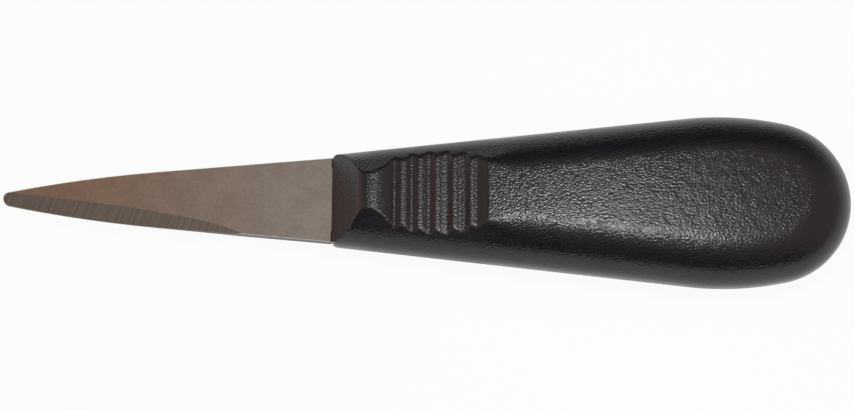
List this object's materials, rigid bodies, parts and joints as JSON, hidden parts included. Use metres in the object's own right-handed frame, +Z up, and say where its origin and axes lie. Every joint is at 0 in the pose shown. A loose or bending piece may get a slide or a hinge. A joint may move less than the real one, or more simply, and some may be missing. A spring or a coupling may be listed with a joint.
{
  "type": "oyster knife",
  "caption": "Oyster knife with a short pointed flat steel blade, ground along its edge, and a moulded black plastic handle with a ribbed thumb hollow on each side.",
  "frame": {"origin": "on the flat back that the knife lies on, under the middle of its length and width", "axes": "+X from the point of the blade to the butt, +Y across the knife, away from the ground edge, +Z up through the flat of the blade"},
  "size_m": [0.165, 0.034, 0.0168],
  "materials": {
    "blade_steel": "satin stainless sheet with a coarse ground edge",
    "handle_plastic": "black moulded plastic with a fine leather grain"
  },
  "bodies": {
    "root": {"blade": "blade_steel", "handle": "handle_plastic"}
  },
  "joints": []
}
